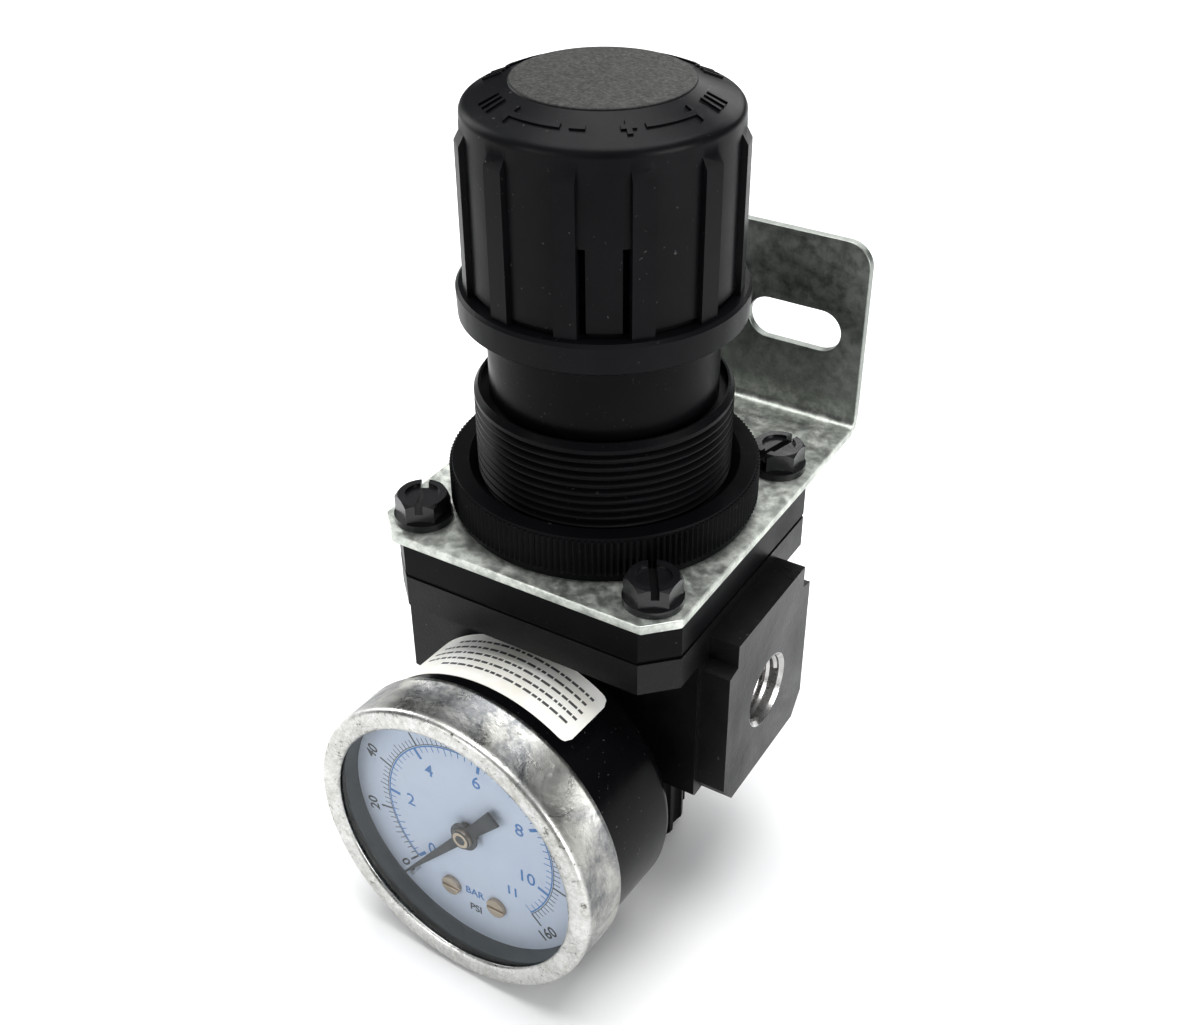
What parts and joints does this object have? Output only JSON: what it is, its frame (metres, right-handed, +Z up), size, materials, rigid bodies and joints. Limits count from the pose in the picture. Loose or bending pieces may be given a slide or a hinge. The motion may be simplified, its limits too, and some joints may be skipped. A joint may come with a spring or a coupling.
{
  "type": "air pressure regulator",
  "caption": "Compressed air pressure regulator with push-to-lock knob, panel nut, bent mounting bracket and a dial pressure gauge on its front port.",
  "frame": {"origin": "centre of the bottom cap's flat base, on the knob axis", "axes": "+Z up along the knob axis, +X out of the outlet port, -Y out of the gauge port (the gauge leans up to 3 degrees from it), +Y towards the bracket's upright"},
  "size_m": [0.0646, 0.0908, 0.145],
  "materials": {
    "paint_black": "semi-gloss black coating on a die casting",
    "bonnet_plastic": "dark moulded plastic",
    "knob_plastic": "satin black moulded plastic",
    "zinc": "mottled zinc plating",
    "black_oxide": "black oxide steel",
    "steel": "machined steel",
    "brass": "machined brass",
    "rubber": "nitrile rubber",
    "case_black": "gloss black enamel",
    "bezel_chrome": "worn chrome plating",
    "lens_clear": "clear window",
    "dial_white": "matt pale enamel",
    "pointer_black": "matt black enamel",
    "label_paper": "matt label"
  },
  "bodies": {
    "housing": {"body": "paint_black", "bonnet": "bonnet_plastic", "bracket": "zinc", "panel_nut": "bonnet_plastic", "bonnet_screws": "black_oxide", "bottom_cap": "bonnet_plastic", "cap_seal": "rubber", "valve_seat": "brass", "stem_seal": "rubber", "rear_port_plug": "brass", "diaphragm": "rubber", "thrust_washer": "brass", "gauge_case": "case_black", "gauge_bezel": "bezel_chrome", "gauge_lens": "lens_clear", "lens_gasket": "rubber", "gauge_dial": "dial_white", "dial_screws": "steel", "pointer_stop": "steel", "gauge_socket": "brass", "case_screws": "steel", "bourdon_tube": "brass", "movement_back_plate": "brass", "movement_front_plate": "brass", "movement_pillars": "brass", "hairspring": "steel", "case_label": "label_paper"},
    "screw_drive": {"adjusting_screw": "steel"},
    "knob": {"knob": "knob_plastic"},
    "nut_carriage": {"spring_nut": "steel", "range_spring": "steel"},
    "diaphragm_center": {"spring_seat": "zinc", "pressure_plate": "zinc", "diaphragm_hub": "brass"},
    "valve": {"valve_poppet": "brass", "poppet_seal": "rubber", "valve_spring": "steel"},
    "pointer": {"gauge_pointer": "pointer_black", "pinion_shaft": "steel"},
    "sector": {"sector_gear": "brass"},
    "link": {"gauge_link": "steel"}
  },
  "joints": [
    {"name": "knob_turn", "type": "hinge", "parent": "housing", "child": "screw_drive", "pos_m": [0, 0, 0.12], "axis": [0, 0, 1], "range_deg": [-2160, 0]},
    {"name": "knob_lock", "type": "slide", "parent": "screw_drive", "child": "knob", "axis": [0, 0, 1], "range_m": [-0.004, 0]},
    {"name": "nut_travel", "type": "slide", "parent": "housing", "child": "nut_carriage", "axis": [0, 0, 1], "range_m": [-0.0091, 0.0001], "deforming": ["range_spring"]},
    {"name": "diaphragm_travel", "type": "slide", "parent": "housing", "child": "diaphragm_center", "axis": [0, 0, 1], "range_m": [-0.0012, 0], "stiffness_N_per_m": 2000, "springref_m": 0.0005, "deforming": ["diaphragm"]},
    {"name": "valve_travel", "type": "slide", "parent": "housing", "child": "valve", "axis": [0, 0, 1], "range_m": [-0.00125, 0.00005], "deforming": ["valve_spring"]},
    {"name": "pointer_turn", "type": "hinge", "parent": "housing", "child": "pointer", "pos_m": [-0.00191, -0.04195, 0.02832], "axis": [0.0454, 0.9987, -0.0218], "range_deg": [0, 270], "stiffness_Nm_per_rad": 0.0001, "springref_deg": -28.65},
    {"name": "sector_swing", "type": "hinge", "parent": "housing", "child": "sector", "pos_m": [-0.00119, -0.03317, 0.01913], "axis": [-0.0454, -0.9987, 0.0218], "range_deg": [-0.5, 34.5]},
    {"name": "link_swing", "type": "hinge", "parent": "sector", "child": "link", "pos_m": [-0.00111, -0.03328, 0.01413], "axis": [0.0454, 0.9987, -0.0218], "range_deg": [-0.5, 34.5]}
  ],
  "couplings": [
    {"joint": "nut_travel", "follows": "knob_turn", "m_per_rad": 0.00023873},
    {"joint": "valve_travel", "follows": "diaphragm_travel", "ratio": 1},
    {"joint": "sector_swing", "follows": "pointer_turn", "ratio": 0.125},
    {"joint": "link_swing", "follows": "pointer_turn", "ratio": 0.125}
  ]
}
